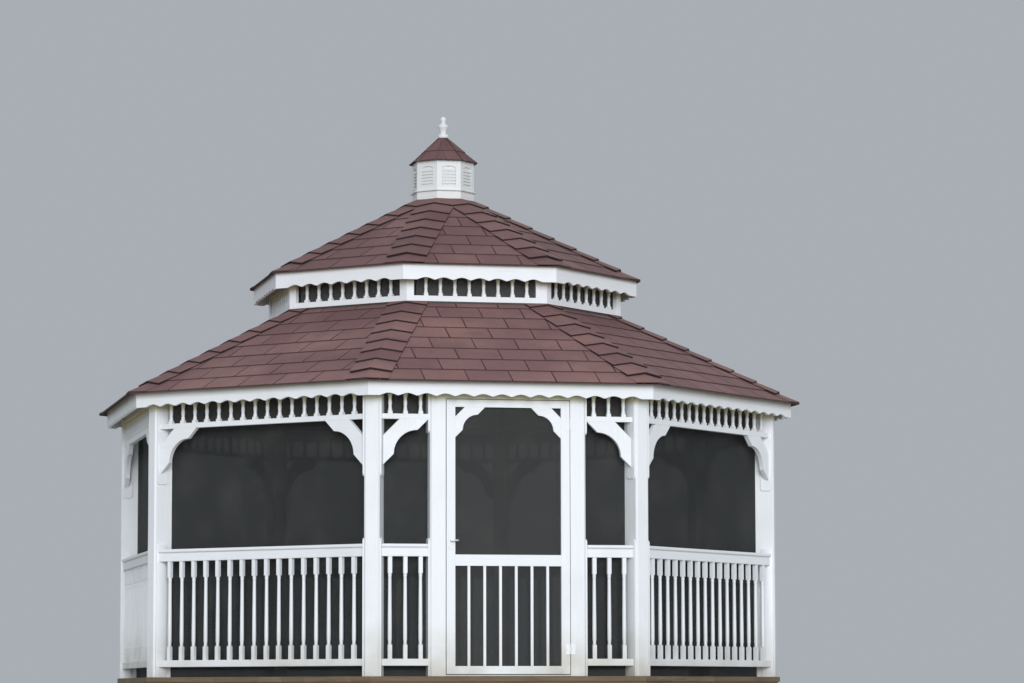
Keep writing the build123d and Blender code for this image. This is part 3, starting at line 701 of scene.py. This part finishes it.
fasciaValues = {
    "main": {"apothem": 2538.31, "drop": 135, "arches": 14, "shaded": (2054, 2080, 2104)},
    "upper": {"apothem": 1426, "drop": 132, "arches": 7, "shaded": (3056, 3071, 3085)},
    "pitch": 138,
    "rise": 19,
    "thickness": 19,
    "stepsInArch": 8,
    "roundness": 1.3,         # of the arches, less is fuller
    "plainRise": 30,          # from the foot to where the arches end
    "overrun": 300,           # past the last arch, before the mitre
    "stainAndShade": (0, 0, 0, 0.35, 0.8, 0.9),       # of the stain and painted shade, at rising heights
}


def makeFascia(name, node, tier):
    # Boards under the eaves with a waved lower edge, and a stain with painted shade where the drip edge
    # shades them
    values = fasciaValues
    apothem, drop, arches, shaded = values[tier].values()
    foot, top = boardHeight(tier, apothem) - drop, boardHeight(tier, apothem) - 1
    start = arches * values["pitch"] / 2
    columns = arches * values["stepsInArch"]
    rows = [foot, foot + values["plainRise"], *shaded, top]
    ends = {-1: -start - values["overrun"], columns + 1: start + values["overrun"]}
    bm = bmesh.new()
    bmesh.ops.create_grid(bm, x_segments=columns + 2, y_segments=len(rows) - 1, size=0.5)
    # How strong the stain and painted shade are, rising to the top of the board
    stainAndShade = bm.verts.layers.float.new("stainAndShade")
    for v in bm.verts:
        column = round((v.co.x + 0.5) * (columns + 2)) - 1
        row = round((v.co.y + 0.5) * (len(rows) - 1))
        reach = ends.get(column, -start + column * values["pitch"] / values["stepsInArch"])
        height = rows[row]
        if row == 0 and -start < reach < start:
            wave = abs(sin(pi * (reach + start) / values["pitch"]))
            height += values["rise"] * wave ** values["roundness"]
        v[stainAndShade] = values["stainAndShade"][row]
        v.co = (reach, -apothem, height)
    pushed = bmesh.ops.extrude_face_region(bm, geom=bm.faces[:])
    moved = [v for v in pushed["geom"] if isinstance(v, bmesh.types.BMVert)]
    bmesh.ops.translate(bm, vec=(0, values["thickness"], 0), verts=moved)
    bmesh.ops.recalc_face_normals(bm, faces=bm.faces)
    sawAtHips(bm, 1)
    shape = keepShape(bm)
    whole = bmesh.new()
    for bay in range(gazebo["bays"]):
        placeShape(whole, shape, turnTo(bay))
    finishPiece(name, whole, [fasciaPaint], nodes=[node])


makeFascia("lower_fascia", "main_fascia", "main")
makeFascia("higher_fascia", "upper_fascia", "upper")
print("fascias made")

roofingValues = {
    "main": {"eave": 2600.31, "inner": 1301.5, "firstCourse": 200, "exposure": 201},
    "upper": {"eave": 1456, "inner": 229.5, "firstCourse": 205, "exposure": 198},
    "tabWidth": 322,
    "slot": 10,
    "thickness": 7,
    "lap": 28,
    "starter": -12,           # first butt, past the eave until it is sawn
    "sink": 4,                # of a tab's back into the felt
    "shift": 0.5,             # of a tab from course to course
    "bayShift": 0.31,         # of a tab from bay to bay
    "unevenHeight": 1.5,      # as laid by hand
    "unevenWidth": 2,
    "felt": 3,
    "feltOverrun": 20,
    "capWing": 154,
    "capOverrun": 30,         # past the hip until it is sawn
    "firstCap": -12,
    "capExposure": 196,
    "capLift": 12,
    "capThickness": 12,
    "eaveDrop": 6,            # the lowest cap lies closer
    "tonesWithShade": ((0.15, 1), (0, 0.55), (0, 0.8), (0, 1),         # bay by bay: random tones, with painted shade darkening the bays right of the front
              (0, 1), (0, 1), (0, 0.9), (0, 0.85)),
}


def addTab(bm, tone, place, low, high, tilt, shade, cut=1):
    # One tab: its butt stands proud of the course below, its upper edge lies under the next
    pivot = Matrix.Translation((0, low[1], low[2]))
    place = place @ pivot @ Matrix.Rotation(-tilt, 4, "X") @ pivot.inverted()
    corners = addBar(bm, low, high)
    faces = {face for v in corners for face in v.link_faces}
    for face in faces:
        face[tone] = shade
        face.material_index = 0 if face.calc_center_median().z > high[2] - 0.01 else cut
    bmesh.ops.transform(bm, matrix=place, verts=corners)


def slopeFrame(x, y, z, at):
    placed = Matrix((x, y, z)).transposed().to_4x4()
    placed.translation = at
    return placed


def hipFrame(side, out, eave, height, grade):
    # Runs up the hip from the eave's corner, flat on the bay's own slope
    halfTan = tan(radians(gazebo["halfBay"]))
    along = Vector((-side * halfTan, 1, grade)).normalized()
    return slopeFrame(along.cross(out), along, out, Vector((side * eave * halfTan, -eave, height)))


def makeShingles(name, node, finish, tier):
    values = roofingValues
    eave, inner, firstCourse, exposure = values[tier].values()
    length = (eave - inner) / cos(roofPitch)
    height = boardHeight(tier, eave)
    halfTan = tan(radians(gazebo["halfBay"]))
    across = Vector((1, 0, 0))
    up = Vector((0, cos(roofPitch), sin(roofPitch)))
    out = across.cross(up)
    field = slopeFrame(across, up, out, Vector((0, -eave, height)))
    feltLow = (-eave, -values["feltOverrun"], 0)
    feltHigh = (eave, length + values["feltOverrun"], values["felt"])
    back = values["thickness"] - values["sink"]
    butts = [firstCourse + i * exposure for i in range(int(length / exposure) + 1)]
    caps = int((eave - inner) / Vector((halfTan, 1, slope)).normalized().y / values["capExposure"]) + 2
    capTilt = values["capThickness"] / values["capExposure"]
    whole = bmesh.new()
    for bay in range(gazebo["bays"]):
        chance = Random(31 * bay + int(eave))
        bm = bmesh.new()
        tone = bm.faces.layers.float.new("tone")
        # The felt takes the dark edge finish: painted shade in the slots between tabs
        addTab(bm, tone, field, feltLow, feltHigh, 0, 0.2)
        for face in bm.faces:
            face.material_index = 1
        for course, (low, high) in enumerate(zip([values["starter"]] + butts, butts)):
            tilt = values["thickness"] / (high - low)
            half = (eave - low * cos(roofPitch)) * halfTan + values["tabWidth"]
            shift = (course * values["shift"] + bay * values["bayShift"]) % 1
            x = -values["tabWidth"] * (int(half / values["tabWidth"]) + shift)
            while x < half:
                nudge = chance.uniform(-1, 1) * values["unevenHeight"]
                uneven = chance.uniform(-1, 1) * values["unevenWidth"]
                width = values["tabWidth"] - values["slot"] + uneven
                addTab(bm, tone, field, (x, low + nudge, back),
                       (x + width, high + values["lap"], back + values["thickness"]), tilt,
                       chance.uniform(*values["tonesWithShade"][bay]))
                x += values["tabWidth"]
        for side in (-1, 1):
            capFrame = hipFrame(side, out, eave, height, slope)
            hip = (bay + (side > 0)) % gazebo["bays"]
            left, right = sorted((side * values["capOverrun"], -side * values["capWing"]))
            for cap in range(caps):
                low = cap * values["capExposure"] + values["firstCap"]
                shade = Random(100 * hip + cap + int(eave)).uniform(0, 0.9)
                lift = values["capLift"] - (0 if cap else values["eaveDrop"])
                high = low + values["capExposure"] + values["lap"]
                addTab(bm, tone, capFrame, (left, low, lift),
                       (right, high, lift + values["capThickness"]), capTilt, shade, 2)
        sawAtHips(bm, 0)
        saw(bm, Vector((0, -eave, 0)), Vector((0, -1, 0)))
        saw(bm, Vector((0, -inner, 0)), Vector((0, 1, 0)))
        # Faces sawn at the eave take the dark edge finish: painted shade along the eave
        for face in bm.faces:
            if abs(face.calc_center_median().y + eave) < 0.5:
                face.material_index = 1
        placeShape(whole, keepShape(bm), turnTo(bay))
    finishPiece(name, whole, [finish, shingleEdgeAndShade, capEdgeShadow], nodes=[node], grain=False)


makeShingles("lower_shingles", "main_shingles", shingle, "main")
makeShingles("higher_shingles", "upper_shingles", shadedTierShingle, "upper")
print("shingles laid")


# Wall of the upper tier

upperValues = {
    "apothem": 1311,
    "thickness": 38,
    "bottomRail": (2817.55, 2859.55),
    "topRail": (3009.55, 3047.55),
    "panelHalf": 483.03,
    "railSetback": 2,
    "railTenon": 20,          # into the corner boards
    "boardOverrun": 120,      # of the corner boards past the hip, before the mitre
    "frontFiller": 26,        # beside the right board of the front bay
}


def makeUpperWalls(values):
    front, back = -values["apothem"], -values["apothem"] + values["thickness"]
    half, tenon, overrun = values["panelHalf"], values["railTenon"], values["boardOverrun"]
    panel = bmesh.new()
    for foot, top in (values["bottomRail"], values["topRail"]):
        addBar(panel, (-half - tenon, front + values["railSetback"], foot), (half + tenon, back, top))
    for left, right in ((-half - overrun, -half), (half, half + overrun)):
        addBar(panel, (left, front, values["bottomRail"][0]), (right, back, values["topRail"][1]))
    sawAtHips(panel, 1)
    panel = keepShape(panel)
    foot, top = values["bottomRail"][1], values["topRail"][0]
    spindle = spindleShape(friezeValues, foot, top - foot)
    panels, spindles = bmesh.new(), bmesh.new()
    for bay in range(gazebo["bays"]):
        placeShape(panels, panel, turnTo(bay))
        for x in turningPlaces(-half, half):
            place = Matrix.Translation((x, (front + back) / 2, 0))
            placeShape(spindles, spindle, turnTo(bay) @ place)
    addBar(panels, (half - values["frontFiller"], front, foot - 1), (half + 1, back, top + 1))
    finishPiece("tier_panels", panels, [whitePaint], nodes=["upper_walls"], ease=1.5)
    finishPiece("tier_spindles", spindles, [whitePaint], nodes=["upper_walls"])


makeUpperWalls(upperValues)
print("upper walls made")


# Cupola roof and finial

slatValues = {
    "half": 54,
    "face": 229,
    "depth": 19,
    "foot": 3853.8,
    "pitch": 24.6,
    "count": 6,
    "slope": 38,
    "section": ((-10, -3), (40, 6)),          # front and underside, back and top, from the pivot
    "setback": 0.5,           # of the nose from the face of the wall
    "backing": (9, 13, 3840, 4012),           # front and back from the face, foot, top
}


def makeSlats(values):
    # Sloped slats with a rounded nose, six in each louvred opening, and a board behind them
    half, face = values["half"], values["face"]
    (front, under), (back, over) = values["section"]
    turn = Matrix.Rotation(radians(values["slope"]), 4, "X")
    opening = bmesh.new()
    for index in range(values["count"]):
        slat = bmesh.new()
        addBar(slat, (-half, front, under), (half, back, over))
        place = Matrix.Translation((0, -face, values["foot"] + index * values["pitch"])) @ turn
        bmesh.ops.transform(slat, matrix=place, verts=slat.verts)
        saw(slat, Vector((0, -face + values["setback"], 0)), Vector((0, -1, 0)))
        saw(slat, Vector((0, -face + values["depth"], 0)), Vector((0, 1, 0)))
        placeShape(opening, keepShape(slat), Matrix())
    near, far, foot, top = values["backing"]
    addBar(opening, (-half, -face + near, foot), (half, -face + far, top))
    opening = keepShape(opening)
    whole = bmesh.new()
    for bay in range(gazebo["bays"]):
        placeShape(whole, opening, turnTo(bay))
    finishPiece("cupola_slats", whole, [whitePaint], nodes=["cupola_louvres"], ease=2.5)


makeSlats(slatValues)

cupolaValues = {
    "eave": 4055.8,
    "outer": 256,
    "edge": 8,
    "top": 4266.8,
    "topApothem": 42,
    "courseShare": 0.42,
    "lap": 15,
    "thickness": 5,
    "boardThickness": 8,
    "half": 200,              # of every strip, before the mitres
    "overrun": 40,            # past eave and top, before they are sawn
    "jointFrom": (-60, 40),
    "slot": 2,                # half of the slot between two tabs
    "hipShadowStrip": 7,            # half of the dark strip on every other hip, painted shadow
    "capInset": 3,
}


def makeCupolaRoof(values):
    # Eight small slopes of two courses each, on a boarded cap
    eave, outer, top, thickness = (values[key] for key in ("eave", "outer", "top", "thickness"))
    half, overrun, slot, hipShadowStrip = (values[key] for key in ("half", "overrun", "slot", "hipShadowStrip"))
    rise = top - eave - values["edge"]
    run = outer - values["topApothem"]
    length = (rise ** 2 + run ** 2) ** 0.5
    middle = length * values["courseShare"]
    up = Vector((0, run, rise)).normalized()
    across = Vector((1, 0, 0))
    out = across.cross(up)
    place = slopeFrame(across, up, out, Vector((0, -outer, eave + values["edge"])))
    starter = roofingValues["starter"]
    whole = bmesh.new()
    for bay in range(gazebo["bays"]):
        chance = Random(7 + bay)
        bm = bmesh.new()
        tone = bm.faces.layers.float.new("tone")
        addTab(bm, tone, place, (-half, -overrun, -thickness - 1 - values["boardThickness"]),
               (half, length + overrun, -thickness - 1), 0, 0.3)
        joint = chance.uniform(*values["jointFrom"])
        tilt = thickness / middle
        for low, high, left, right in ((starter, middle + values["lap"], -half, joint - slot),
                                       (starter, middle + values["lap"], joint + slot, half),
                                       (middle, length + values["lap"], -half, half)):
            addTab(bm, tone, place, (left, low, -thickness), (right, high, 0),
                   tilt if low < 0 else tilt * 0.6, chance.random())
        # A dark strip on every other hip: painted shadow along the hip
        side = -1 if bay % 2 else 1
        hip = hipFrame(side, out, outer, eave + values["edge"], rise / run)
        left, right = sorted((0, -side * hipShadowStrip))
        addTab(bm, tone, hip, (left, -overrun, -thickness), (right, 2 * length, 1), 0, 0)
        for face in bm.faces[-6:]:
            face.material_index = 1
        sawAtHips(bm, 2)
        saw(bm, Vector((0, -outer, 0)), Vector((0, -1, 0)))
        saw(bm, Vector((0, 0, top)), Vector((0, 0, 1)))
        saw(bm, Vector((0, 0, eave)), Vector((0, 0, -1)))
        placeShape(whole, keepShape(bm), turnTo(bay))
    finishPiece("cupola_shingles", whole, [shadedCupolaShingle, shingleEdgeAndShade],
                nodes=["cupola_roof"], grain=False)

    depth = top - eave - 2 * values["capInset"]
    place = (Matrix.Translation((0, 0, (top + eave) / 2 - values["capInset"]))
             @ Matrix.Rotation(radians(gazebo["halfBay"]), 4, "Z"))
    bm = bmesh.new()
    bmesh.ops.create_cone(bm, cap_ends=True, segments=gazebo["bays"], depth=depth, matrix=place,
                          radius1=outer - values["capInset"], radius2=values["topApothem"])
    finishPiece("cupola_cap", bm, [whitePaint], nodes=["cupola_roof"])


makeCupolaRoof(cupolaValues)

finialValues = {
    "foot": 4266.8,
    "sides": 32,
    "steps": [(0, 0), (39, 0), (41, 3), (41, 24), (38, 28), (30, 31), (25, 35), (23, 39), (23, 46),
              (26, 55), (31, 67), (36, 78), (40, 86), (42, 92), (41, 98), (36, 104), (28, 110),
              (20.5, 116), (17, 121), (16.5, 126), (20.5, 133), (24.2, 142), (24.6, 149), (22.5, 159),
              (17, 166.5), (9, 171.3), (0, 172.8)],
}


def makeFinial(values):
    steps = [(radius, values["foot"] + height) for radius, height in values["steps"]]
    bm = spunShape(steps, values["sides"])
    finishPiece("turned_finial", bm, [whitePaint], nodes=["finial"], roundAngle=50)


makeFinial(finialValues)
print("cupola made")


# Screens, latch and hinges

meshOf = {"wall_screens": screenMesh, "upper_screens": screenMesh, "door_screens": doorMesh}
for node, mesh in meshOf.items():
    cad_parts[node].material_slots[0].material = mesh

latchValues = {
    "x": -422.25,
    "height": 970,
    "plate": (36, 125, 4),
    "plateCorner": 9,
    "neckRadius": 7.5,
    "reach": 34,
    "lever": (58, 13, 9),
    "leverCorner": 3.5,
    "faces": ((2419.31, 1), (2391.31, -1)),   # outside and inside of the stile
}


def makeLatch(values):
    # Back plate, round neck and flat lever, on both faces of the stile
    x, height, radius = values["x"], values["height"], values["neckRadius"]
    width, tall, thick = values["plate"]
    length, size, depth = values["lever"]
    softened = {"offset_type": "OFFSET", "profile": 0.5, "affect": "EDGES", "material": -1}
    coated, bare = bmesh.new(), bmesh.new()
    for face, way in values["faces"]:
        near, far = sorted((-face, -face - way * thick))
        verts = addBar(coated, (x - width / 2, near, height - tall / 2),
                       (x + width / 2, far, height + tall / 2))
        edges = {e for v in verts for e in v.link_edges}
        corners = [e for e in edges if abs((e.verts[0].co - e.verts[1].co).y) > 1]
        bmesh.ops.bevel(coated, geom=corners, offset=values["plateCorner"], segments=5, **softened)
        start, end = -face - way * thick, -face - way * (values["reach"] - depth)
        neck = Matrix.Translation((x, (start + end) / 2, height)) @ Matrix.Rotation(pi / 2, 4, "X")
        bmesh.ops.create_cone(coated, cap_ends=True, segments=20, radius1=radius, radius2=radius,
                              depth=abs(end - start), matrix=neck)
        near, far = sorted((end, end - way * depth))
        verts = addBar(bare, (x - size / 2 - 2, near, height - size / 2),
                       (x - size / 2 + length, far, height + size / 2))
        edges = list({e for v in verts for e in v.link_edges})
        bmesh.ops.bevel(bare, geom=edges, offset=values["leverCorner"], segments=3, **softened)
    finishPiece("latch_plates", coated, [whiteMetal], body="screen_door",
                nodes=["door_latch"], ease=0.8, roundAngle=35)
    finishPiece("latch_levers", bare, [greyMetal], body="screen_door",
                nodes=["door_latch"], roundAngle=35)


makeLatch(latchValues)
for name, node, body in (("leaf_hinges", "door_hinges", "screen_door"),
                         ("frame_hinges", "jamb_hinges", "gazebo")):
    fromFrame(name, [node], [whiteMetal], body=body, ease=0.4, roundAngle=40)
print("door furniture made")


# Studio

studioValues = {
    "cameraAt": (-5.4501, -27.5121, 0.1058),
    "heading": -12.3155,
    "pitch": 5.6221,
    "roll": -0.1034,
    "lens": 125.355,
    "floor": "#c6c6c2",
    "floorDust": "#c9c7bf",
    "floorClouds": 1250,      # mm
    "floorHalf": 150,         # metres
    "backdrop": "#c6ccd3",
    "skyStrength": 0.7,
    "suns": {                 # azimuth from the front, elevation, strength, softness, colour
        "keySun": (-6, 14, 2.2, 34, "#f9fbff"),
        "leftSun": (-75, 30, 0.1, 60, "#eef4ff"),
        "rearSun": (170, 35, 0.5, 40, "#f6f8ff"),
    },
}


def makeStudio(values):
    bm = bmesh.new()
    bmesh.ops.create_grid(bm, x_segments=1, y_segments=1, size=values["floorHalf"],
                          matrix=Matrix.Translation((0, 0, -0.0005)))
    mesh = bpy.data.meshes.new("studioFloor")
    bm.to_mesh(mesh)
    bm.free()
    finish, tree, shader = startFinish("paleStudioFloor", Roughness=0.8)
    place = addNode(tree, "TexCoord").outputs["Object"]
    cloud = addNode(tree, "TexNoise", {}, {"Vector": place, "Scale": 1000 / values["floorClouds"],
                                           "Detail": 2})
    colour = layCoats(tree, values["floor"], [(values["floorDust"], (cloud, 0.3, 0.7, 0, 0.08))])
    tree.links.new(colour, shader.inputs["Base Color"])
    mesh.materials.append(finish)
    floor = bpy.data.objects.new("studioFloor", mesh)
    bpy.context.scene.collection.objects.link(floor)

    world = bpy.data.worlds.new("paleStudio")
    world.use_nodes = True
    background = world.node_tree.nodes["Background"]
    background.inputs["Color"].default_value = toLinear(values["backdrop"])
    background.inputs["Strength"].default_value = values["skyStrength"]
    bpy.context.scene.world = world

    for name, (azimuth, elevation, strength, softness, colour) in values["suns"].items():
        light = bpy.data.lights.new(name, "SUN")
        light.energy = strength
        light.angle = radians(softness)
        light.color = toLinear(colour)[:3]
        lamp = bpy.data.objects.new(name, light)
        lamp.rotation_euler = (radians(90 - elevation), 0, radians(azimuth))
        bpy.context.scene.collection.objects.link(lamp)

    camera = bpy.data.cameras.new("photoCamera")
    camera.sensor_width = 36
    camera.sensor_fit = "HORIZONTAL"
    camera.lens = values["lens"]
    camera.clip_start = 0.5
    camera.clip_end = 500
    viewer = bpy.data.objects.new("photoCamera", camera)
    heading, pitch, roll = (radians(values[key]) for key in ("heading", "pitch", "roll"))
    turned = (Matrix.Rotation(heading, 4, "Z") @ Matrix.Rotation(pi / 2 + pitch, 4, "X")
              @ Matrix.Rotation(roll, 4, "Z"))
    viewer.matrix_world = Matrix.Translation(values["cameraAt"]) @ turned
    bpy.context.scene.collection.objects.link(viewer)
    bpy.context.scene.camera = viewer
    bpy.context.scene.view_settings.view_transform = "Standard"


makeStudio(studioValues)
print("studio set")

bpy.context.view_layer.update()
